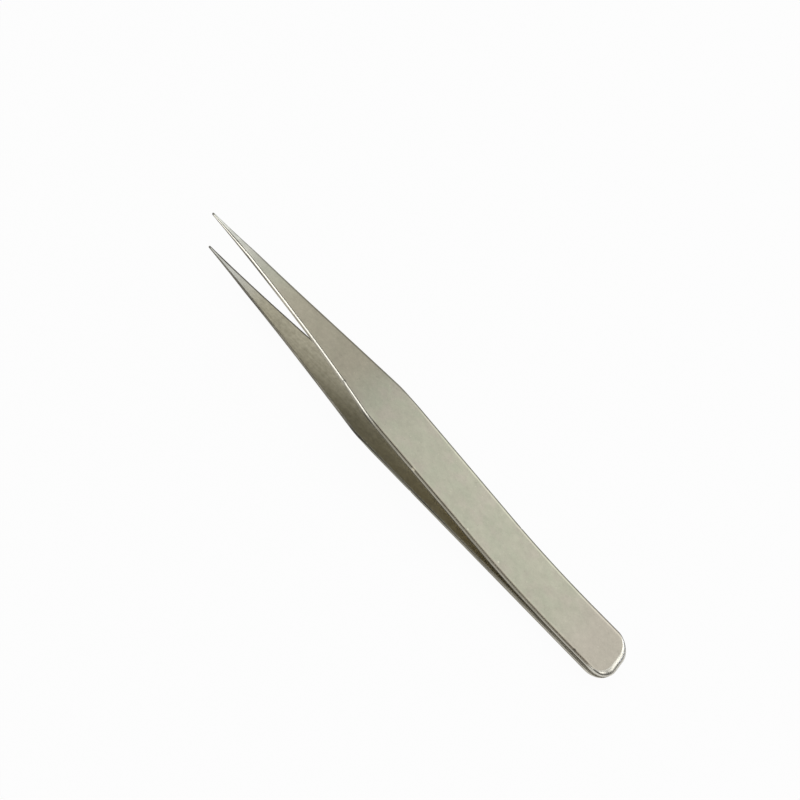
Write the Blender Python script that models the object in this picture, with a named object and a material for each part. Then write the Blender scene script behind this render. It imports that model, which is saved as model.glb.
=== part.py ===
"""Precision tweezers: two stamped steel blades, spot-welded face to face at the rear end.

Metres, +Z up. The lower blade lies on z = 0, +X points to the welded rear end and the tips point to -X.
A station is a distance along a flat blank, measured from its rear end before the blade is bent.
"""

import math

import bmesh
import bpy

MM = 0.001

# Blank: both blades are cut with one tool, so they share one flat outline
BLADE_LENGTH = 115.0 * MM
BLADE_WIDTH = 10.0 * MM  # at the shoulder, from where the blade narrows both ways
REAR_WIDTH = 9.3 * MM
BLADE_THICKNESS = 1.15 * MM
REAR_FLAT = 2.3 * MM  # straight stretch of the rear end between its two round corners
SHOULDER_STATION = 63.0 * MM
SHOULDER_ROUNDING = 1.4 * MM
TAPER_HOLLOW = 0.49 * MM  # how far each tapering edge curves in from a straight line
POINT_WIDTH = 0.4 * MM
POINT_ROUNDING = 0.17 * MM
POINT_THICKNESS = 0.4 * MM
GRIND_LENGTH = 13.0 * MM  # the outer face is ground down to the point over this length
EDGE_GRIND_WIDTH = 0.3 * MM  # the outer edges of a point are ground off to a steep slant
EDGE_GRIND_DEPTH = 0.55 * MM
EDGE_GRIND_LEAD = 3.0 * MM  # the slant deepens over this length from the shoulder
EDGE_GRIND_SHARE = 0.3  # most of the half width that the slant may take near the tip
REAR_GRIND_LENGTH = 1.6 * MM  # the outer face is ground off round the rear end, most at its middle
REAR_EDGE = 0.3 * MM  # thickness left at the rear end below that grind

# Bends: the lower blade stays straight as far as its shoulder
TAB_LENGTH = 9.0 * MM
ROOT_BEND_LENGTH = 22.0 * MM
UPPER_ROOT_BEND = math.radians(8.5)
POINT_BEND_LEAD = 6.0 * MM  # the inward bend of a point starts this far behind the shoulder
POINT_BEND_LENGTH = 29.0 * MM
UPPER_POINT_BEND = math.radians(4.1)
LOWER_POINT_BEND = math.radians(2.2)

# Welds: two spots on the centre line of the tabs
WELD_DIAMETER = 2.6 * MM
WELD_DEPTH = 0.4 * MM  # how far a spot reaches into each blade
WELD_WEB = 0.6 * MM  # metal left between the two pockets
WELD_SETBACK = 1.9 * MM  # from the front edge of the tab to the middle of the front spot
WELD_ROUNDING = 0.12 * MM

# Flexing: a finger presses at its station, and the blade turns about a line a third of the way to it
FINGER_STATION = 55.0 * MM
PIVOT_SHARE = 1 / 3

# Gaps between neighbouring solids
SEAM_GAP = 0.25 * MM
FLEX_SLIT = 0.3 * MM
POINT_SLIT = 0.3 * MM
WELD_CLEARANCE = 0.2 * MM

# Fineness of the round stretches
REAR_STEPS = 10
TAPER_STEPS = 11
SHOULDER_STEPS = 5
POINT_STEPS = 3
BEND_STEPS = 10
WELD_SIDES = 32

PIVOT_STATION = TAB_LENGTH + PIVOT_SHARE * (FINGER_STATION - TAB_LENGTH)
POINT_BEND_STATION = SHOULDER_STATION - POINT_BEND_LEAD
GRIND_STATION = BLADE_LENGTH - GRIND_LENGTH
REAR_ROUNDING = (REAR_WIDTH - REAR_FLAT) / 2
REAR_GRIND_DEPTH = BLADE_THICKNESS - REAR_EDGE
UPPER_LEVEL = BLADE_THICKNESS + SEAM_GAP
WELD_PITCH = WELD_DIAMETER + 2 * WELD_CLEARANCE + WELD_WEB
FRONT_RUN = BLADE_LENGTH - POINT_BEND_STATION - POINT_BEND_LENGTH
BEND_CLEAR = POINT_BEND_STATION - TAB_LENGTH - ROOT_BEND_LENGTH

# A blade's path as (length, turn) runs from the rear end, a positive turn rising
UPPER_RUNS = (
    (TAB_LENGTH, 0.0),
    (ROOT_BEND_LENGTH, UPPER_ROOT_BEND),
    (BEND_CLEAR, 0.0),
    (POINT_BEND_LENGTH, -UPPER_POINT_BEND),
    (FRONT_RUN, 0.0),
)
LOWER_RUNS = (
    (POINT_BEND_STATION, 0.0),
    (POINT_BEND_LENGTH, LOWER_POINT_BEND),
    (FRONT_RUN, 0.0),
)


def path_at(runs, station):
    """Distance forward, height and heading of a blade's path at a station."""
    forward, up, heading = 0.0, 0.0, 0.0
    for length, turn in runs:
        step = min(max(station, 0.0), length)
        if turn:
            radius = length / turn
            turned = heading + step / radius
            forward += radius * (math.sin(turned) - math.sin(heading))
            up += radius * (math.cos(heading) - math.cos(turned))
            heading = turned
        else:
            forward += step * math.cos(heading)
            up += step * math.sin(heading)
        station -= step
    return forward, up, heading


# The object's origin is half way along the lower blade, which reaches farther than the upper one
REAR_X = path_at(LOWER_RUNS, BLADE_LENGTH)[0] / 2


def bent_point(runs, level, station, side, offset):
    """Where a point of the flat blank lies once the blade is bent; offset is across the blade's thickness."""
    forward, up, heading = path_at(runs, station)
    x = REAR_X - forward + offset * math.sin(heading)
    return x, side, level + up + offset * math.cos(heading)


def thickness_at(station):
    ground = max(station - GRIND_STATION, 0.0) / GRIND_LENGTH
    return BLADE_THICKNESS + ground * (POINT_THICKNESS - BLADE_THICKNESS)


def taper_half_width(station):
    share = (BLADE_LENGTH - station) / (BLADE_LENGTH - SHOULDER_STATION)
    straight = (POINT_WIDTH + share * (BLADE_WIDTH - POINT_WIDTH)) / 2
    return straight - 4 * TAPER_HOLLOW * share * (1 - share)


def blank_outline():
    """Corners of the flat blank as (station, side), before any of them is rounded."""
    rear = [(0.0, -REAR_WIDTH / 2), (0.0, REAR_WIDTH / 2)]
    taper = []
    for i in range(TAPER_STEPS + 1):
        station = SHOULDER_STATION + (BLADE_LENGTH - SHOULDER_STATION) * i / TAPER_STEPS
        taper.append((station, taper_half_width(station)))
    mirrored = [(station, -side) for station, side in reversed(taper)]
    return rear + taper + mirrored


def round_corners(bm, station, offset, segments):
    """Rounds the two outline corners at a station."""
    corners = sorted(bm.verts, key=lambda v: abs(v.co.x - station))[:2]
    bmesh.ops.bevel(
        bm,
        geom=corners,
        offset=offset,
        offset_type="OFFSET",
        segments=segments,
        profile=0.5,
        affect="VERTICES",
    )


def slant_at(station):
    """How far the outer edges of a point are set in by the slant."""
    deepened = min(max(station - SHOULDER_STATION, 0.0) / EDGE_GRIND_LEAD, 1.0)
    return min(EDGE_GRIND_WIDTH * deepened, EDGE_GRIND_SHARE * taper_half_width(station))


def rear_ground(station, side):
    """Where a point of the round rear edge moves on the outer face when the rear end is ground off."""
    middle = min(max(side, -REAR_FLAT / 2), REAR_FLAT / 2)
    back = (REAR_ROUNDING - station) / REAR_ROUNDING
    out = (side - middle) / REAR_ROUNDING
    inset = REAR_GRIND_LENGTH * back
    return station + inset * back, side - inset * out


def cut_across(bm, station, **clear):
    geom = bm.verts[:] + bm.edges[:] + bm.faces[:]
    bmesh.ops.bisect_plane(
        bm, geom=geom, dist=1e-7, plane_co=(station, 0, 0), plane_no=(1, 0, 0), **clear
    )


def cut_level(bm, height):
    geom = bm.verts[:] + bm.edges[:] + bm.faces[:]
    bmesh.ops.bisect_plane(
        bm, geom=geom, dist=1e-7, plane_co=(0, 0, height), plane_no=(0, 0, 1)
    )


def flat_blank(start, end):
    """The blank between two stations as flat faces, divided wherever the blade will bend or thin."""
    bm = bmesh.new()
    bm.faces.new([bm.verts.new((station, side, 0)) for station, side in blank_outline()])
    round_corners(bm, 0.0, REAR_ROUNDING, REAR_STEPS)
    round_corners(bm, SHOULDER_STATION, SHOULDER_ROUNDING, SHOULDER_STEPS)
    round_corners(bm, BLADE_LENGTH, POINT_ROUNDING, POINT_STEPS)
    for i in range(BEND_STEPS + 1):
        cut_across(bm, TAB_LENGTH + ROOT_BEND_LENGTH * i / BEND_STEPS)
        cut_across(bm, POINT_BEND_STATION + POINT_BEND_LENGTH * i / BEND_STEPS)
    cut_across(bm, GRIND_STATION)
    if start > 0:
        cut_across(bm, start, clear_inner=True)
    if end < BLADE_LENGTH:
        cut_across(bm, end, clear_outer=True)
    return bm


def new_object(name, bm, origin, material):
    """Makes a bmesh in world coordinates an object with its origin at a point."""
    bmesh.ops.recalc_face_normals(bm, faces=bm.faces[:])
    bmesh.ops.translate(bm, verts=bm.verts[:], vec=[-c for c in origin])
    mesh = bpy.data.meshes.new(name)
    bm.to_mesh(mesh)
    bm.free()
    obj = bpy.data.objects.new(name, mesh)
    obj.location = origin
    if material:
        mesh.materials.append(material)
    bpy.context.scene.collection.objects.link(obj)
    return obj


def blade_piece(name, start, end, runs, level, grinds_low, origin, material):
    """A stretch of blade: the blank is thickened, ground towards its point and bent along its path."""
    bm = flat_blank(start, end)
    made = bmesh.ops.extrude_face_region(bm, geom=bm.faces[:])["geom"]
    raised = [v for v in made if isinstance(v, bmesh.types.BMVert)]
    bmesh.ops.translate(bm, verts=raised, vec=(0, 0, BLADE_THICKNESS))
    outer = 0.0 if grinds_low else BLADE_THICKNESS
    if start < REAR_ROUNDING:
        cut_level(bm, abs(outer - REAR_GRIND_DEPTH))
    if end > SHOULDER_STATION:
        cut_level(bm, abs(outer - EDGE_GRIND_DEPTH))
    for vert in bm.verts:
        station, side, height = vert.co
        if abs(height - outer) < 1e-7:
            if station < REAR_ROUNDING:
                station, side = rear_ground(station, side)
            elif station > SHOULDER_STATION:
                side -= math.copysign(slant_at(station), side)
        thinned = thickness_at(station) / BLADE_THICKNESS
        if grinds_low:
            offset = BLADE_THICKNESS - (BLADE_THICKNESS - height) * thinned
        else:
            offset = height * thinned
        vert.co = bent_point(runs, level, station, side, offset)
    return new_object(name, bm, origin, material)


def weld_disc(name, centre, diameter, height, rounding, material):
    bm = bmesh.new()
    bmesh.ops.create_cone(
        bm,
        cap_ends=True,
        segments=WELD_SIDES,
        radius1=diameter / 2,
        radius2=diameter / 2,
        depth=height,
    )
    if rounding:
        rims = [e for e in bm.edges if abs(e.verts[0].co.z - e.verts[1].co.z) < height / 2]
        bmesh.ops.bevel(
            bm, geom=rims, offset=rounding, segments=2, profile=0.5, affect="EDGES"
        )
    bmesh.ops.translate(bm, verts=bm.verts[:], vec=centre)
    return new_object(name, bm, centre, material)


def steel(name, colour, roughness):
    material = bpy.data.materials.new(name)
    material.use_nodes = True
    shader = material.node_tree.nodes["Principled BSDF"]
    shader.inputs["Base Color"].default_value = (*colour, 1.0)
    shader.inputs["Roughness"].default_value = roughness
    shader.inputs["Metallic"].default_value = 1.0
    return material


def pivot_of(runs, level):
    """The line, half way through a blade's thickness, about which its arm turns."""
    return bent_point(runs, level, PIVOT_STATION, 0.0, BLADE_THICKNESS / 2)


def make_blade(name, runs, level, grinds_low, material):
    """One blade: a fixed root, then an arm and a point that move together.

    The slit where the point's bend starts lets the collision of each piece follow the blade.
    """
    pivot = pivot_of(runs, level)
    stretches = (
        ("root", 0.0, PIVOT_STATION - FLEX_SLIT / 2, (REAR_X, 0.0, level)),
        ("arm", PIVOT_STATION + FLEX_SLIT / 2, POINT_BEND_STATION - POINT_SLIT / 2, pivot),
        ("point", POINT_BEND_STATION + POINT_SLIT / 2, BLADE_LENGTH, pivot),
    )
    return [
        blade_piece(f"{name}_{stretch}", start, end, runs, level, grinds_low, origin, material)
        for stretch, start, end, origin in stretches
    ]


def make_welds(roots, material):
    """Weld spots between the tabs, each in a shallow pocket that is cut into both blades."""
    front_station = TAB_LENGTH - WELD_SETBACK
    stations = {"front": front_station, "rear": front_station - WELD_PITCH}
    pocket_height = SEAM_GAP + 2 * WELD_DEPTH
    welds = []
    for place, station in stations.items():
        centre = (REAR_X - station, 0.0, BLADE_THICKNESS + SEAM_GAP / 2)
        pocket = weld_disc(
            f"{place}_weld_pocket", centre, WELD_DIAMETER + 2 * WELD_CLEARANCE,
            pocket_height, 0.0, None,
        )
        pocket.hide_render = True
        pocket.display_type = "WIRE"
        for root in roots:
            cut = root.modifiers.new(f"{place}_weld_pocket", "BOOLEAN")
            cut.operation = "DIFFERENCE"
            cut.solver = "EXACT"
            cut.object = pocket
        spot = weld_disc(
            f"{place}_weld_spot", centre, WELD_DIAMETER,
            pocket_height - 2 * WELD_CLEARANCE, WELD_ROUNDING, material,
        )
        welds += [pocket, spot]
    return welds


def main():
    for obj in list(bpy.data.objects):
        bpy.data.objects.remove(obj)
    blade_colour = (0.47, 0.45, 0.37)
    upper_steel = steel("upper_blade_satin_nickel", blade_colour, 0.38)
    lower_steel = steel("lower_blade_satin_nickel", blade_colour, 0.40)
    weld_steel = steel("weld_steel", (0.30, 0.28, 0.25), 0.55)

    upper = make_blade("upper_blade", UPPER_RUNS, UPPER_LEVEL, False, upper_steel)
    lower = make_blade("lower_blade", LOWER_RUNS, 0.0, True, lower_steel)
    welds = make_welds((upper[0], lower[0]), weld_steel)

    centre = bpy.data.objects.new("tweezers", None)
    bpy.context.scene.collection.objects.link(centre)
    for obj in (*upper, *lower, *welds):
        obj.parent = centre


main()
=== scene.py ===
import math

import bmesh
import bpy
from mathutils import Euler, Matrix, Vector


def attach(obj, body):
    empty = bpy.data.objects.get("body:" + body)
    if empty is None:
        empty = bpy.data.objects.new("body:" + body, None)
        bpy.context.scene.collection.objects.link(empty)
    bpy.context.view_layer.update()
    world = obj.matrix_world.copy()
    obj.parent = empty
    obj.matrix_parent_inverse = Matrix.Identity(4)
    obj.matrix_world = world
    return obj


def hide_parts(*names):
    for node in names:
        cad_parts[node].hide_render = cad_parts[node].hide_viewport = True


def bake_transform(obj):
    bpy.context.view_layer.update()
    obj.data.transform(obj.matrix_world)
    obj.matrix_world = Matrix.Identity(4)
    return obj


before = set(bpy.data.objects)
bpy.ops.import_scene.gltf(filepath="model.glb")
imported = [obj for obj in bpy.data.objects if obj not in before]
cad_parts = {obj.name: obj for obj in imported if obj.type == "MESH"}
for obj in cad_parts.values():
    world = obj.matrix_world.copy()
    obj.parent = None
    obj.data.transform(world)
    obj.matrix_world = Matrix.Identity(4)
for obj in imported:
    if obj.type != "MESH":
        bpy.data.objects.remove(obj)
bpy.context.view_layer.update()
mm = 0.001

# the flat strip that both blades are stamped from, in mm, stations counted from the rear end, and
# how finely it is divided
strip = {
    "length": 115.0,
    "width": 10.0,
    "rearWidth": 9.3,
    "thickness": 1.15,
    "rearFlat": 2.3,
    "shoulder": 63.0,
    "shoulderRound": 1.4,
    "hollow": 0.49,
    "pointWidth": 0.4,
    "pointRound": 0.17,
    "pointThickness": 0.4,
    "grindLength": 13.0,
    "tab": 9.0,
    "seam": 0.25,
    "finger": 55.0,
    "gripCuts": 11,
    "taperCuts": 47,
    "rearSteps": 24,
    "pointSteps": 5,
    "firstSlice": 5,
    "joinWithin": 0.004,
}

# how the edges are finished, in mm: tumbled round on the grip, ground to a slant along the points
# and ground off to a crescent round the rear end; slices at a nick are given in its half lengths
rim = {
    "cut": 0.15,
    "steps": 6,
    "outer": 0.28,
    "inner": 0.22,
    "mostOfHalf": 0.42,
    "slantWidth": 0.28,
    "slantDepth": 0.42,
    "slantStart": -5.0,
    "slantLead": 5.0,
    "slantRoundness": 0.35,
    "rearLength": 1.35,
    "rearDepth": 0.80,
    "rearStart": 0.57,
    "hold": 0.03,
    "nickBand": 1.0,
    "nickSlices": (-2, -1.3, -0.8, -0.4, 0, 0.4, 0.8, 1.3, 2),
    "easeFrom": 0.5,
    "easeOver": 1.0,
}

# the bends of each blade as (length, degrees) runs from the rear end, rising is positive,
# small knocks in its outer rims as (station, side, depth, half length), and painted glints
# (positive strength) and painted shade (negative) on them as (station, side, reach, strength)
upperBlade = {
    "name": "upperBlade",
    "runs": ((9.0, 0.0), (22.0, 8.5), (26.0, 0.0), (29.0, -4.1), (29.0, 0.0)),
    "level": strip["thickness"] + strip["seam"],
    "outerIsTop": True,
    "nicks": (
        (7.6, -1, 0.16, 0.18),
        (49.6, -1, 0.08, 0.24),
        (70.3, -1, 0.08, 0.32),
        (28.4, 1, 0.06, 0.20),
    ),
    "glintAndShadeSpots": (
        (7.6, -4.65, 0.45, -0.5),
        (27.2, -3.85, 0.26, 0.5),
        (35.1, -4.30, 0.22, 0.5),
        (49.6, -4.90, 0.50, 0.9),
        (70.3, -4.00, 0.60, -0.30),
    ),
    "arm": "upper_arm",
    "nodes": ("upper_blade_root", "upper_blade_arm", "upper_blade_point"),
    "slot": "upper_blade",
    "burnishedTo": 200.0,
    "wallLight": (0.0, 0.9),
    "edgeDark": 0.0,
    "seed": 1.7,
}
lowerBlade = {
    "name": "lowerBlade",
    "runs": ((57.0, 0.0), (29.0, 2.2), (29.0, 0.0)),
    "level": 0.0,
    "outerIsTop": False,
    "nicks": ((47.5, -1, 0.07, 0.25), (18.6, 1, 0.06, 0.20)),
    "glintAndShadeSpots": ((47.5, -4.85, 0.40, 0.3),),
    "arm": "lower_arm",
    "nodes": ("lower_blade_root", "lower_blade_arm", "lower_blade_point"),
    "slot": "lower_blade",
    "burnishedTo": 45.0,
    "wallLight": (0.45, 0.5),
    "edgeDark": 0.95,
    "seed": 6.1,
}


class Wire:
    # a shader socket that can be used in plain arithmetic
    def __init__(self, tree, socket=None):
        self.tree = tree
        self.socket = socket

    def node(self, kind, settings=None, sockets=None, output=0):
        made = self.tree.nodes.new(kind)
        for name, value in (settings or {}).items():
            setattr(made, name, value)
        for name, value in (sockets or {}).items():
            if isinstance(value, Wire):
                self.tree.links.new(value.socket, made.inputs[name])
            else:
                made.inputs[name].default_value = value
        return Wire(self.tree, made.outputs[output])

    def feed(self, socket):
        self.tree.links.new(self.socket, socket)

    def math(self, operation, *values):
        return self.node("ShaderNodeMath", {"operation": operation}, dict(enumerate(values)))

    def __add__(self, other):
        return self.math("ADD", self, other)

    def __radd__(self, other):
        return self.math("ADD", other, self)

    def __sub__(self, other):
        return self.math("SUBTRACT", self, other)

    def __rsub__(self, other):
        return self.math("SUBTRACT", other, self)

    def __mul__(self, other):
        return self.math("MULTIPLY", self, other)

    def __rmul__(self, other):
        return self.math("MULTIPLY", other, self)

    def __abs__(self):
        return self.math("ABSOLUTE", self)

    def root(self):
        return self.math("SQRT", self)

    def atLeast(self, low):
        return self.math("MAXIMUM", self, low)

    def below(self, high):
        return self.math("LESS_THAN", self, high)

    def between(self, low, high):
        # 0 at low and 1 at high, with a soft start and end
        return self.node(
            "ShaderNodeMapRange",
            {"interpolation_type": "SMOOTHSTEP"},
            {"Value": self, "From Min": low, "From Max": high},
        )

    def stretch(self, low, high):
        # 0 at low and 1 at high, evenly between and held beyond
        return self.node(
            "ShaderNodeMapRange", None, {"Value": self, "From Min": low, "From Max": high}
        )

    def mix(self, first, second):
        # self is the share of the second colour
        return self.node(
            "ShaderNodeMix",
            {"data_type": "RGBA", "clamp_factor": True},
            {"Factor": self, 6: first, 7: second},
            output=2,
        )

    def lit(self, share):
        # the colour made lighter or darker
        return self.node("ShaderNodeVectorMath", {"operation": "SCALE"}, {0: self, "Scale": share})

    def noise(self, stretch, scale, seed, detail=3.0):
        # cloudy noise over the strip, with a frequency for each of its directions
        drawn = self.node("ShaderNodeVectorMath", {"operation": "MULTIPLY"}, {0: self, 1: stretch})
        return self.node(
            "ShaderNodeTexNoise",
            {"noise_dimensions": "4D"},
            {"Vector": drawn, "W": seed, "Scale": scale, "Detail": detail, "Roughness": 0.55},
        )

    def bump(self, strength, depth):
        # the surface normal that this relief gives, with its depth in mm
        settings = {"Strength": strength, "Distance": depth * mm, "Height": self}
        return self.node("ShaderNodeBump", None, settings)

    def part(self, axis):
        return self.node("ShaderNodeSeparateXYZ", None, {"Vector": self}, output=axis)


def pathAt(runs, station):
    forward, up, heading = 0.0, 0.0, 0.0
    for length, degrees in runs:
        step = min(max(station, 0.0), length)
        if degrees:
            radius = length / math.radians(degrees)
            turned = heading + step / radius
            forward += radius * (math.sin(turned) - math.sin(heading))
            up += radius * (math.cos(heading) - math.cos(turned))
            heading = turned
        else:
            forward += step * math.cos(heading)
            up += step * math.sin(heading)
        station -= step
    return forward, up, heading


rearX = pathAt(lowerBlade["runs"], strip["length"])[0] / 2
rearRound = (strip["rearWidth"] - strip["rearFlat"]) / 2


def bentPoint(blade, station, side, height):
    # where a point of the flat strip lies on the bent blade, in metres
    forward, up, heading = pathAt(blade["runs"], station)
    x = rearX - forward + height * math.sin(heading)
    z = blade["level"] + up + height * math.cos(heading)
    return Vector((x, side, z)) * mm


def gripWidth(station):
    # half the strip's width behind the shoulder
    share = station / strip["shoulder"]
    return (strip["rearWidth"] + share * (strip["width"] - strip["rearWidth"])) / 2


def taperWidth(station):
    # half the strip's width in front of the shoulder
    share = (strip["length"] - station) / (strip["length"] - strip["shoulder"])
    straight = (strip["pointWidth"] + share * (strip["width"] - strip["pointWidth"])) / 2
    return straight - 4 * strip["hollow"] * share * (1 - share)


def halfWidth(station):
    # half the strip's width, with the shoulder eased from grip to taper
    ease = strip["shoulderRound"]
    start, end = strip["shoulder"] - ease, strip["shoulder"] + ease
    if station < start:
        return gripWidth(station)
    if station > end:
        return taperWidth(station)
    share = (station - start) / (end - start)
    corner = strip["width"] / 2
    before = (1 - share) * gripWidth(start) + share * corner
    after = (1 - share) * corner + share * taperWidth(end)
    return (1 - share) * before + share * after


def cutPlane(bm, place, normal):
    everything = bm.verts[:] + bm.edges[:] + bm.faces[:]
    bmesh.ops.bisect_plane(bm, geom=everything, dist=1e-4, plane_co=place, plane_no=normal)


def stampedStrip():
    # the outline: round rear corners, straight sides, and hollow tapers to the point
    bm = bmesh.new()
    half = strip["rearWidth"] / 2
    rear = [bm.verts.new((0, side, 0)) for side in (-half, half)]
    bm.edges.new(rear)
    ease = strip["shoulderRound"]
    stops = (strip["shoulder"] - ease, strip["shoulder"] + ease, strip["length"])
    for end in rear:
        for station in stops:
            side = math.copysign(halfWidth(station), end.co.y)
            end = bmesh.ops.extrude_vert_indiv(bm, verts=[end])["verts"][0]
            end.co = (station, side, 0)
    for stop, cuts in ((stops[0], strip["gripCuts"]), (stops[1], strip["taperCuts"])):
        sides = [e for e in bm.edges if abs(min(v.co.x for v in e.verts) - stop) < 0.01]
        bmesh.ops.subdivide_edges(bm, edges=sides, cuts=cuts)
    for vert in bm.verts:
        vert.co.y = math.copysign(halfWidth(vert.co.x), vert.co.y)
    bmesh.ops.contextual_create(bm, geom=bm.edges[:])
    for station, offset, steps in (
        (0.0, rearRound, strip["rearSteps"]),
        (strip["length"], strip["pointRound"], strip["pointSteps"]),
    ):
        corners = sorted(bm.verts, key=lambda v: abs(v.co.x - station))[:2]
        bmesh.ops.bevel(
            bm, geom=corners, offset=offset, offset_type="OFFSET", segments=steps, profile=0.5,
            affect="VERTICES", material=-1,
        )
    return bm


def thickenedStrip():
    # the outline given its thickness, with evenly rounded rims; the outer face is on top
    bm = stampedStrip()
    thick = strip["thickness"]
    made = bmesh.ops.extrude_face_region(bm, geom=bm.faces[:])["geom"]
    raised = [v for v in made if isinstance(v, bmesh.types.BMVert)]
    bmesh.ops.translate(bm, verts=raised, vec=(0, 0, thick))
    bmesh.ops.recalc_face_normals(bm, faces=bm.faces[:])
    bm.normal_update()
    rims = [e for e in bm.edges if sum(abs(f.normal.z) > 0.5 for f in e.link_faces) == 1]
    bmesh.ops.bevel(
        bm, geom=rims, offset=rim["cut"], offset_type="OFFSET", segments=rim["steps"], profile=0.5,
        affect="EDGES", material=-1,
    )
    flats = sorted(bm.faces, key=lambda f: len(f.verts))[-2:]
    bmesh.ops.inset_individual(bm, faces=flats, thickness=rim["hold"], depth=0.0)
    for level in (rim["cut"] + rim["hold"], thick - rim["cut"] - rim["hold"]):
        cutPlane(bm, (0, 0, level), (0, 0, 1))
    return bm


def sliceStrip(bm, nicks):
    # cuts across the strip in front of the round rear end, closer together at the nicks
    cuts = list(range(strip["firstSlice"], int(strip["length"])))
    for station, side, depth, reach in nicks:
        cuts += [station + reach * step for step in rim["nickSlices"]]
    for station in cuts:
        cutPlane(bm, (station, 0, 0), (1, 0, 0))
    bmesh.ops.remove_doubles(bm, verts=bm.verts[:], dist=strip["joinWithin"])


def rimSizes(station, half, backward):
    # width and depth of the outer rim, and the shares of slant and rear grind in its shape
    start = strip["shoulder"] + rim["slantStart"]
    slant = min(max((station - start) / rim["slantLead"], 0.0), 1.0)
    most = rim["mostOfHalf"] * half
    width = rim["outer"] + slant * (rim["slantWidth"] - rim["outer"])
    depth = rim["outer"] + slant * (rim["slantDepth"] - rim["outer"])
    width += backward * (rim["rearLength"] - width)
    depth += backward * (rim["rearDepth"] - depth)
    return min(width, most), depth, slant * (1 - rim["slantRoundness"]), backward


def shapeRims(bm, nicks):
    # turns the even rim rounding into the real one and knocks in the nicks
    thick, cut = strip["thickness"], rim["cut"]
    flatHalf = strip["rearFlat"] / 2
    for vert in bm.verts:
        station, side, height = vert.co
        half = halfWidth(station)
        centre = Vector((station, 0, 0))
        if station < rearRound:
            centre = Vector((rearRound, min(max(side, -flatHalf), flatHalf), 0))
        outward = Vector((station, side, 0)) - centre
        fromRim = (rearRound if station < rearRound else half) - outward.length
        backward = max(-outward.normalized().x, 0.0)
        width, depth, slanted, ground = rimSizes(station, half, backward)
        innerWidth, innerDepth = min(rim["inner"], rim["mostOfHalf"] * half), rim["inner"]
        deep = thick - height
        onTop = deep < thick / 2
        if min(deep, height) < cut:
            nearest = max(min(deep, height), 0.0)
            turn = math.asin(1 - nearest / cut) if nearest > 1e-5 else math.pi / 2
            even = 2 * turn / math.pi
            rounded = 1 - slanted - ground if onTop else 1.0
            inset = rounded * (1 - math.cos(turn)) + (1 - rounded) * even
            drop = rounded * (1 - math.sin(turn))
            if onTop:
                lead = rim["rearStart"] * (1 - even) + (1 - rim["rearStart"]) * (1 - even) ** 3
                drop += slanted * (1 - even) + ground * lead
                deep = depth * drop
            else:
                deep = thick - innerDepth * drop
            shift = inset * (width if onTop else innerWidth) - cut * (1 - math.cos(turn))
        else:
            share = (deep - cut) / (thick - 2 * cut)
            deep = depth + share * (thick - depth - innerDepth)
            shift = 0.0
        if onTop:
            for place, sign, knock, reach in nicks:
                if side * sign > half - rim["nickBand"]:
                    away = (station - place) / reach
                    shift += knock * math.exp(-away * away) * (1 - deep / thick)
        shift *= 1 - min(max((fromRim - rim["easeFrom"]) / rim["easeOver"], 0.0), 1.0)
        vert.co = centre + outward - outward.normalized() * shift
        vert.co.z = thick - deep


def bladeMesh(blade):
    bm = thickenedStrip()
    sliceStrip(bm, blade["nicks"])
    shapeRims(bm, blade["nicks"])
    flat = [v.co.copy() for v in bm.verts]
    grind, thick = strip["grindLength"], strip["thickness"]
    for vert in bm.verts:
        station, side, height = vert.co
        ground = max(station - strip["length"] + grind, 0.0) / grind
        height *= 1 + ground * (strip["pointThickness"] / thick - 1)
        vert.co = bentPoint(blade, station, side, height if blade["outerIsTop"] else thick - height)
    bmesh.ops.recalc_face_normals(bm, faces=bm.faces[:])
    mesh = bpy.data.meshes.new(blade["name"])
    bm.to_mesh(mesh)
    bm.free()
    # the strip's own flat coordinates, which the finish follows round the bends
    laidOut = mesh.attributes.new("strip", "FLOAT_VECTOR", "POINT")
    for i, place in enumerate(flat):
        laidOut.data[i].vector = place
    mesh.shade_smooth()
    return mesh


def newPiece(name, mesh, material):
    piece = bpy.data.objects.new(name, mesh)
    bpy.context.scene.collection.objects.link(piece)
    mesh.materials.append(material)
    return piece


def bareMaterial(name):
    material = bpy.data.materials.new(name)
    material.use_nodes = True
    shader = material.node_tree.nodes["Principled BSDF"]
    return material, Wire(material.node_tree), shader


# plated steel: colours of the faces, the sheared walls and the ground edges; the wall and edge colours
# carry painted shade and painted highlights too
nickel = {
    "face": ((0.470, 0.464, 0.370, 1), (0.530, 0.522, 0.418, 1)),
    "pinkish": (0.520, 0.480, 0.405, 1),
    "greenish": (0.480, 0.492, 0.385, 1),
    "brownish": (0.490, 0.452, 0.350, 1),
    "paleLit": (0.540, 0.545, 0.495, 1),
    # inner faces: painted shade between the blades in the middle, painted fill light deep by the rear
    # end and towards the point
    "inside": ((0.410, 0.382, 0.285, 1), (0.500, 0.470, 0.360, 1)),
    "insideDeep": (0.750, 0.700, 0.550, 1),
    "insidePale": (0.590, 0.590, 0.540, 1),
    "shearedAndShaded": ((0.100, 0.092, 0.072, 1), (0.300, 0.280, 0.225, 1)),
    "burnishedAndLit": ((0.500, 0.465, 0.375, 1), (0.780, 0.735, 0.610, 1)),
    # colour of the painted shade along the rounded near rim of the grip
    "nearRimShade": (0.380, 0.325, 0.245, 1),
    # ground bare steel, partly real and partly a painted highlight
    "ground": (0.950, 0.920, 0.810, 1),
    "tip": (0.200, 0.190, 0.165, 1),
    "roughness": 0.36,
    "bump": 0.25,
    "relief": 0.01,
}

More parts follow.
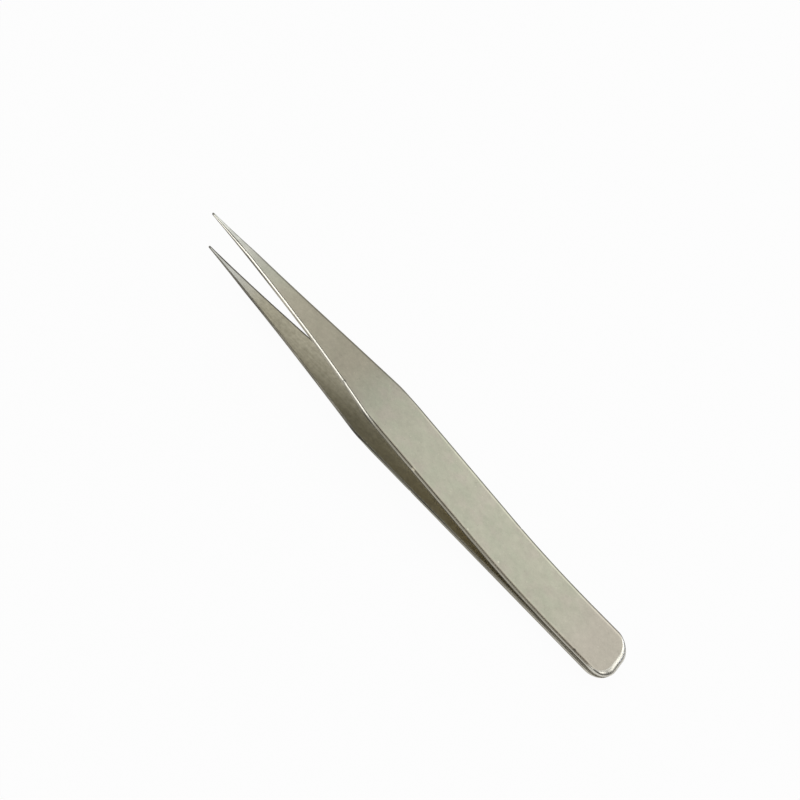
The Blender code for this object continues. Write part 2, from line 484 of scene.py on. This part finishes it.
# noise in the plating as (frequencies along, across and through the strip, scale, seed, detail)
patterns = {
    "blotch": ((1, 1, 1), 0.16, 0, 4.0),
    "green": ((1, 1.4, 1), 0.36, 3, 4.0),
    "pink": ((1, 1.2, 1), 0.28, 9, 4.0),
    "cloud": ((0.7, 1, 1), 0.45, 19, 2.0),
    "mottle": ((0.8, 1, 1), 1.3, 17, 3.0),
    "streak": ((0.10, 1.6, 1.6), 1.6, 5, 4.0),
    "grain": ((0.6, 1, 1), 4.5, 7, 2.0),
    "specks": ((1, 1, 1), 3.2, 11, 1.0),
    "wear": ((0.25, 1, 1), 2.4, 13, 3.0),
}

# the noise values between which a pattern goes from none to full
levels = {
    "blotch": (0.32, 0.68),
    "green": (0.42, 0.62),
    "pink": (0.46, 0.66),
    "wear": (0.38, 0.60),
    "inside": (0.36, 0.64),
    "shearedAndShaded": (0.36, 0.66),
    "burnishedAndLit": (0.36, 0.62),
    "paleSpecks": (0.70, 0.74),
    "darkSpecks": (0.26, 0.30),
}

# soft changes along the strip as (first, last) stations in mm
along = {
    "rearEnd": (3.4, 5.0),
    "pinkRear": (6.0, 16.0),
    "groundRearAndSheen": (10.0, 18.0),
    "litRear": (20.0, 44.0),
    "deepInside": (26.0, 66.0),
    "burnishFade": 8.0,
    "highlitFarRim": (52.0, 64.0),
    "point": (strip["shoulder"] - 4.0, strip["shoulder"]),
    "shadedShoulder": (59.0, 66.0),
    "clearTaper": (70.0, 82.0),
    "litPoint": (62.0, 68.0),
    "unlitPoint": (88.0, 98.0),
    "brownTaper": (strip["shoulder"] + 1.0, strip["shoulder"] + 10.0),
    "clearPoint": (86.0, 102.0),
    "paleLitPoint": (90.0, 111.0),
    "paleInside": (95.0, 109.0),
    "taperEnd": (98.0, 111.0),
    "brightPoint": (104.0, 113.0),
    "tip": (strip["length"] - 0.9, strip["length"] - 0.3),
}

# soft changes across the strip, from its middle line towards the far edge, in mm
across = {
    "farEdge": (0.0, 0.1),
    "farRim": (0.05, 0.15),
    "nearRim": (-0.15, -0.05),
}

# soft changes up the wall from the inner face in mm; the sheared band, painted darker as shade, ends at
# shearTop, higher along the point and lower at the rear end
upWall = {
    "inside": (0.0, 0.04),
    "shear": (0.03, 0.08),
    "shearTop": 0.41,
    "shearRise": 0.36,
    "shearDrop": 0.10,
    "shearFade": (-0.05, 0.05),
    "darkEdge": (0.35, 0.45),
    "glintOrShade": (0.55, 0.75),
    "farRim": (0.60, 0.70),
    "burnish": (0.64, 0.74),
    "nearRim": (0.74, 0.82),
    "outer": (strip["thickness"] - 0.05, strip["thickness"]),
    "rim": (strip["thickness"] - 0.03, strip["thickness"]),
}

# soft changes in from the outline in mm; the painted shade on the far rim is wider along the taper
fromEdge = {
    "nearRimShade": (0.25, 0.45),
    "rimShade": (0.28, 0.44),
    "rimShadeOnTaper": 0.24,
    "darkEdge": (0.30, 0.50),
    "worn": (0.30, 0.80),
    "bright": (0.34, 0.48),
    "brightEnd": (0.60, 0.80),
}

# how strongly colours, tones, roughness and relief show
tint = {
    "green": 0.6,
    "pink": 0.6,
    "brown": 0.8,
    "rearPink": 0.7,
    "rearCloud": 0.4,
    "groundRearAndSheen": 0.8,
    "unlitPoint": 0.8,
    "nearRimShade": 0.6,
}
shade = {
    "plain": 0.64,
    "grain": 0.24,
    "mottle": 0.28,
    "cloud": 0.20,
    "worn": 0.05,
    "shoulder": 0.07,
    "paleSpecks": 0.16,
    "darkSpecks": 0.14,
    "shadedFarRim": 0.60,
    "rimShadeLessOnPoint": 0.14,
    "rimShadeLessAtTip": 0.16,
    "highlitFarRim": 0.30,
    "glintOrShadeCore": 0.3,
}
roughen = {"grain": 0.10, "blotch": 0.08, "inside": 0.08, "shear": 0.14, "rim": -0.10, "worn": -0.08}
emboss = {"grain": 0.6, "streak": 0.5}


def insetOf(station, side):
    # distance in from the strip's outline, for wear along the edges
    ahead = station.stretch(strip["length"], strip["shoulder"])
    slope = (strip["width"] - strip["pointWidth"]) / 2
    half = strip["pointWidth"] / 2 + slope * ahead - 4 * strip["hollow"] * ahead * (1 - ahead)
    half = half - (strip["width"] - strip["rearWidth"]) / 2 * station.stretch(strip["shoulder"], 0.0)
    pastEnd = (rearRound - station).atLeast(0.0)
    pastSide = (abs(side) - strip["rearFlat"] / 2).atLeast(0.0)
    fromCorner = (pastEnd * pastEnd + pastSide * pastSide).root()
    atRear = station.below(rearRound)
    return atRear * (rearRound - fromCorner) + (1 - atRear) * (half - abs(side))


class Finish:
    # places on one blade's strip, its noise patterns and the bands that they make
    def __init__(self, blade, wire):
        place = wire.node("ShaderNodeAttribute", {"attribute_name": "strip"}, output=1)
        self.station, self.side, self.height = (place.part(axis) for axis in range(3))
        self.inset = insetOf(self.station, self.side)
        self.noise = {
            name: place.noise(stretch, scale, blade["seed"] + seed, detail)
            for name, (stretch, scale, seed, detail) in patterns.items()
        }
        self.isPoint = self.reached("point")
        self.isEnd = 1 - self.reached("rearEnd")
        self.markWalls(blade)
        self.markRims(blade)

    def reached(self, name):
        return self.station.between(*along[name])

    def risen(self, name):
        return self.height.between(*upWall[name])

    def near(self, name):
        return 1 - self.inset.between(*fromEdge[name])

    def shows(self, name):
        return self.noise[name].between(*levels[name])

    def markWalls(self, blade):
        # bands of the wall from the inner face outwards: sheared with painted shade, burnished with a
        # painted highlight, rounded rim or slant
        self.onInside = 1 - self.risen("inside")
        shearTop = upWall["shearTop"] + upWall["shearRise"] * self.isPoint
        shearTop = shearTop - upWall["shearDrop"] * self.isEnd
        pastShear = (self.height - shearTop).between(*upWall["shearFade"])
        self.onShear = self.risen("shear") * (1 - pastShear)
        fade = along["burnishFade"]
        burnishDone = self.station.between(blade["burnishedTo"] - fade, blade["burnishedTo"] + fade)
        self.onBurnish = (1 - self.isPoint) * pastShear * (1 - self.risen("burnish")) * (1 - burnishDone)
        self.onRim = pastShear * (1 - self.risen("rim"))
        self.onGroundAndSheen = (self.isPoint + self.isEnd) * self.onRim
        rearLight, pointLight = blade["wallLight"]
        nearPoint = self.reached("litPoint") * (1 - tint["unlitPoint"] * self.reached("unlitPoint"))
        self.wallLight = rearLight * (1 - self.reached("litRear")) + pointLight * nearPoint

    def markRims(self, blade):
        # lines along the edges: worn bright; on the far side a dark line, painted shade and a painted
        # highlight; painted shade on the near
        self.worn = self.risen("outer") * self.near("worn") * self.shows("wear")
        onFarEdge = self.isPoint * self.side.between(*across["farEdge"])
        low = 1 - self.risen("darkEdge")
        self.darkEdge = blade["edgeDark"] * onFarEdge * self.near("darkEdge") * low
        onFarRim = self.side.between(*across["farRim"]) * self.risen("farRim")
        onTaper = self.isPoint * (1 - self.reached("taperEnd"))
        rimShadeInset = self.inset - fromEdge["rimShadeOnTaper"] * onTaper
        # painted shade along the far rim, and a painted highlight just inside it
        self.shadedFarRim = onFarRim * (1 - rimShadeInset.between(*fromEdge["rimShade"]))
        self.highlitFarRim = onFarRim * (1 - self.near("bright")) * self.near("brightEnd")
        self.highlitFarRim = self.highlitFarRim * (1 - self.reached("highlitFarRim"))
        onNearRim = (1 - self.side.between(*across["nearRim"])) * self.risen("nearRim")
        # painted shade: a dark line where the rounded near rim of the grip meets the face
        self.shadedNearRim = onNearRim * (1 - self.isPoint) * (1 - self.isEnd) * self.near("nearRimShade")

    def faceColour(self):
        # the plating is browner along the taper, paler at the point as painted light, and pinker at the
        # rear end
        browned = self.reached("brownTaper") * (1 - self.reached("clearPoint"))
        rearPink = tint["rearPink"] + tint["rearCloud"] * self.noise["cloud"]
        face = self.shows("blotch").mix(*nickel["face"])
        face = (self.shows("green") * tint["green"]).mix(face, nickel["greenish"])
        face = (self.shows("pink") * tint["pink"]).mix(face, nickel["pinkish"])
        face = (browned * tint["brown"]).mix(face, nickel["brownish"])
        face = self.reached("paleLitPoint").mix(face, nickel["paleLit"])
        return (rearPink * (1 - self.reached("pinkRear"))).mix(face, nickel["pinkish"])

    def insideColour(self):
        # the inner face's colour paints the shade between the blades, lighter as painted fill light by
        # the rear end and the point
        uneven = 0.5 * self.noise["streak"] + 0.5 * self.noise["mottle"]
        inside = uneven.between(*levels["inside"]).mix(*nickel["inside"])
        inside = (1 - self.reached("deepInside")).mix(inside, nickel["insideDeep"])
        return self.reached("paleInside").mix(inside, nickel["insidePale"])

    def colour(self):
        streak = self.noise["streak"]
        # real sheared and burnished bands, the sheared one painted darker as shade and the burnished one
        # lighter as a painted highlight; wallLight paints lit stretches lighter
        shearedAndShaded = streak.between(*levels["shearedAndShaded"]).mix(*nickel["shearedAndShaded"])
        burnishedAndLit = streak.between(*levels["burnishedAndLit"]).mix(*nickel["burnishedAndLit"])
        shearedAndShaded = self.wallLight.mix(shearedAndShaded, burnishedAndLit)
        # towards the rear end the burnished band turns near-white: ground steel and a painted highlight
        groundRearAndSheen = tint["groundRearAndSheen"] - tint["groundRearAndSheen"] * self.reached("groundRearAndSheen")
        burnishedAndLit = groundRearAndSheen.mix(burnishedAndLit, nickel["ground"])
        colour = self.onInside.mix(self.faceColour(), self.insideColour())
        colour = self.onShear.mix(colour, shearedAndShaded)
        colour = self.onBurnish.mix(colour, burnishedAndLit)
        colour = self.onGroundAndSheen.mix(colour, nickel["ground"])
        colour = (tint["nearRimShade"] * self.shadedNearRim).mix(colour, nickel["nearRimShade"])
        colour = self.darkEdge.mix(colour, nickel["shearedAndShaded"][0])
        return self.reached("tip").mix(colour, nickel["tip"])

    def tone(self, glintAndShadeSpots):
        tone = shade["plain"] + shade["worn"] * self.worn
        for name in ("grain", "mottle", "cloud"):
            tone = tone + shade[name] * self.noise[name]
        # painted shade where the blade bends past the shoulder
        tone = tone - shade["shoulder"] * self.reached("shadedShoulder") * (1 - self.reached("clearTaper"))
        specks = self.noise["specks"]
        tone = tone + shade["paleSpecks"] * specks.between(*levels["paleSpecks"])
        tone = tone - shade["darkSpecks"] * (1 - specks.between(*levels["darkSpecks"]))
        # painted shade on the far rim, less of it along the point and at the tip, plus its painted
        # highlight
        rimShade = shade["shadedFarRim"] - shade["rimShadeLessOnPoint"] * self.isPoint
        rimShade = rimShade - shade["rimShadeLessAtTip"] * self.reached("brightPoint")
        tone = tone * (1 - rimShade * self.shadedFarRim) + shade["highlitFarRim"] * self.highlitFarRim
        # painted glints where strength is positive and painted shade where it is negative, round spots
        # on the rims
        for spot, sideways, reach, strength in glintAndShadeSpots:
            ahead, aside = self.station - spot, self.side - sideways
            away = (ahead * ahead + aside * aside).root()
            glintOrShade = 1 - away.between(shade["glintOrShadeCore"] * reach, reach)
            tone = tone + strength * self.risen("glintOrShade") * glintOrShade
        return tone

    def roughness(self):
        rough = nickel["roughness"] + roughen["grain"] * (self.noise["grain"] - 0.5)
        rough = rough + roughen["blotch"] * (self.shows("blotch") - 0.5)
        rough = rough + roughen["inside"] * self.onInside + roughen["shear"] * self.onShear
        return rough + roughen["rim"] * self.onRim + roughen["worn"] * self.worn

    def relief(self):
        streaks = emboss["streak"] * self.noise["streak"] * (self.onShear + self.onInside)
        specks = self.noise["specks"].between(*levels["paleSpecks"])
        return emboss["grain"] * self.noise["grain"] + streaks + specks


def satinNickel(blade):
    material, wire, shader = bareMaterial(blade["name"] + "Nickel")
    finish = Finish(blade, wire)
    finish.colour().lit(finish.tone(blade["glintAndShadeSpots"])).feed(shader.inputs["Base Color"])
    finish.roughness().feed(shader.inputs["Roughness"])
    shader.inputs["Metallic"].default_value = 1.0
    finish.relief().bump(nickel["bump"], nickel["relief"]).feed(shader.inputs["Normal"])
    return material


for blade in (upperBlade, lowerBlade):
    piece = newPiece(blade["name"], bladeMesh(blade), satinNickel(blade))
    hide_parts(*blade["nodes"])
    start = bentPoint(blade, strip["tab"], 0, strip["thickness"] / 2)
    end = bentPoint(blade, strip["finger"], 0, strip["thickness"] / 2)
    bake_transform(piece)
    print(blade["name"], len(piece.data.polygons), "faces")

# weld spots: flat beads of fused metal in the seam between the tabs
weldBead = {
    "spots": (("frontWeld", 7.1, "front_weld_spot"), ("rearWeld", 3.5, "rear_weld_spot")),
    "diameter": 2.6,
    "sides": 48,
    "gap": 0.01,
    "bulge": 0.10,
    "bulgeSteps": 4,
    "middle": (0.330, 0.312, 0.280, 1),
    "straw": (0.400, 0.300, 0.160, 1),
    "blued": (0.110, 0.115, 0.150, 1),
    "strawFrom": (0.60, 1.05),
    "bluedFrom": (1.0, 1.3),
    "wander": 0.3,
    "patches": 1.8,
    "grain": 9.0,
    "tone": 0.7,
    "uneven": 0.3,
    "roughness": 0.50,
    "roughGrain": 0.2,
    "bump": 0.35,
    "relief": 0.02,
}


def weldMesh(name, station):
    bm = bmesh.new()
    radius = weldBead["diameter"] / 2
    bmesh.ops.create_cone(
        bm, cap_ends=True, segments=weldBead["sides"], radius1=radius, radius2=radius,
        depth=strip["seam"] - 2 * weldBead["gap"],
    )
    rims = [e for e in bm.edges if abs(e.verts[0].co.z - e.verts[1].co.z) < 1e-6]
    bmesh.ops.bevel(
        bm, geom=rims, offset=weldBead["bulge"], offset_type="OFFSET",
        segments=weldBead["bulgeSteps"], profile=0.5, affect="EDGES", material=-1,
    )
    middle = (rearX - station, 0, strip["thickness"] + strip["seam"] / 2)
    bmesh.ops.translate(bm, verts=bm.verts[:], vec=middle)
    bmesh.ops.scale(bm, verts=bm.verts[:], vec=(mm, mm, mm))
    mesh = bpy.data.meshes.new(name)
    bm.to_mesh(mesh)
    bm.free()
    mesh.shade_smooth()
    return mesh


def weldSteel(name, station):
    # bare grey in the middle, with straw and blue heat colours towards the rim
    material, wire, shader = bareMaterial(name + "Steel")
    place = wire.node("ShaderNodeTexCoord", output=3)
    ahead = place.part(0) * (1 / mm) - (rearX - station)
    aside = place.part(1) * (1 / mm)
    evenly = (1 / mm, 1 / mm, 1 / mm)
    patches = place.noise(evenly, weldBead["patches"], station, 3.0)
    grain = place.noise(evenly, weldBead["grain"], station + 2, 2.0)
    out = (ahead * ahead + aside * aside).root() + weldBead["wander"] * (patches - 0.5)
    colour = out.between(*weldBead["strawFrom"]).mix(weldBead["middle"], weldBead["straw"])
    colour = out.between(*weldBead["bluedFrom"]).mix(colour, weldBead["blued"])
    tone = weldBead["tone"] + weldBead["uneven"] * grain + weldBead["uneven"] * patches
    colour.lit(tone).feed(shader.inputs["Base Color"])
    rough = weldBead["roughness"] + weldBead["roughGrain"] * (grain - 0.5)
    rough.feed(shader.inputs["Roughness"])
    shader.inputs["Metallic"].default_value = 1.0
    (grain + patches).bump(weldBead["bump"], weldBead["relief"]).feed(shader.inputs["Normal"])
    return material


for name, station, node in weldBead["spots"]:
    bead = newPiece(name, weldMesh(name, station), weldSteel(name, station))
    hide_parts(node)
    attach(bead, "rear_end")
print("weld beads", len(weldBead["spots"]))

# floor and light; a lamp is (name, place, width, depth, brightness)
studio = {
    "floorHalf": 3.0,
    "floorDrop": 0.05,
    "floorPaper": (0.9, 0.9, 0.9, 1),
    "white": (1, 1, 1, 1),
    "floorSeen": 0.96,
    "floorInMetal": 0.30,
    "domeLow": 0.08,
    "domeHigh": 0.66,
    "domeTilt": 30.0,
    "domeEdge": (0.45, 0.85),
    "lamps": (
        ("gripLamp", (0.17, 0.37, 0.54), 0.36, 0.40, 0.45),
        ("pointLamp", (-0.50, 0.32, 0.46), 0.36, 0.36, 0.98),
        ("edgeLamp", (-0.28, -0.45, 0.07), 0.40, 0.22, 1.7),
        ("rearLamp", (0.49, 0.37, 0.245), 0.40, 0.14, 1.3),
        ("cornerLamp", (0.54, -0.03, 0.36), 0.22, 0.20, 1.3),
        ("frontLamp", (0.28, -0.48, 0.40), 0.20, 0.24, 1.6),
        ("backLamp", (0.15, 0.52, 0.30), 0.50, 0.14, 0.9),
    ),
}


def seenShare(wire, camera, metal):
    # how far a ray sees plain white: in full for the camera, in part for reflections
    toCamera, inMetal, through = (wire.node("ShaderNodeLightPath", output=i) for i in (0, 3, 6))
    return (toCamera.atLeast(through) * camera).atLeast(inMetal * metal)


def addFloor():
    bm = bmesh.new()
    bmesh.ops.create_grid(bm, x_segments=1, y_segments=1, size=studio["floorHalf"])
    bmesh.ops.translate(bm, verts=bm.verts[:], vec=(0, 0, -studio["floorDrop"] * mm))
    mesh = bpy.data.meshes.new("floor")
    bm.to_mesh(mesh)
    bm.free()
    material, wire, shader = bareMaterial("floorPaper")
    tree = material.node_tree
    paper = wire.node("ShaderNodeBsdfDiffuse", None, {"Color": studio["floorPaper"]})
    white = wire.node("ShaderNodeEmission", None, {"Color": studio["white"], "Strength": 1.0})
    seen = seenShare(wire, studio["floorSeen"], studio["floorInMetal"])
    cover = wire.node("ShaderNodeMixShader", None, {"Fac": seen, 1: paper, 2: white})
    cover.feed(tree.nodes["Material Output"].inputs["Surface"])
    tree.nodes.remove(shader)
    newPiece("floor", mesh, material)


def addLamp(name, place, width, depth, brightness):
    data = bpy.data.lights.new(name, "AREA")
    data.shape = "RECTANGLE"
    data.size = width
    data.size_y = depth
    data.energy = brightness * math.pi * width * depth
    lamp = bpy.data.objects.new(name, data)
    lamp.location = place
    lamp.rotation_euler = Vector(place).to_track_quat("Z", "Y").to_euler()
    lamp.visible_camera = False
    bpy.context.scene.collection.objects.link(lamp)


def addWorld():
    # a soft dome that leans to the back, darker towards the front and the horizon
    world = bpy.data.worlds.new("studio")
    world.use_nodes = True
    bpy.context.scene.world = world
    wire = Wire(world.node_tree)
    look = wire.node("ShaderNodeTexCoord")
    tilt = math.radians(studio["domeTilt"])
    facing = math.sin(tilt) * look.part(1) + math.cos(tilt) * look.part(2)
    lighter = studio["domeHigh"] - studio["domeLow"]
    dome = studio["domeLow"] + lighter * facing.between(*studio["domeEdge"])
    seen = seenShare(wire, 1.0, 0.0)
    backdrop = world.node_tree.nodes["Background"]
    backdrop.inputs["Color"].default_value = studio["white"]
    (seen + (1 - seen) * dome).feed(backdrop.inputs["Strength"])


addFloor()
for lamp in studio["lamps"]:
    addLamp(*lamp)
addWorld()
print("studio set")

viewpoint = {
    "place": (0.028279, -0.069342, 0.115411),
    "turn": (33.5854, -14.7331, 44.6209),
    "lens": 31.5,
    "sensor": 36.0,
    "nearest": 0.001,
}
camera = bpy.data.objects.new("camera", bpy.data.cameras.new("camera"))
camera.data.lens = viewpoint["lens"]
camera.data.sensor_width = viewpoint["sensor"]
camera.data.clip_start = viewpoint["nearest"]
camera.location = viewpoint["place"]
camera.rotation_euler = Euler([math.radians(a) for a in viewpoint["turn"]])
bpy.context.scene.collection.objects.link(camera)
bpy.context.scene.camera = camera
bpy.context.scene.view_settings.view_transform = "Standard"
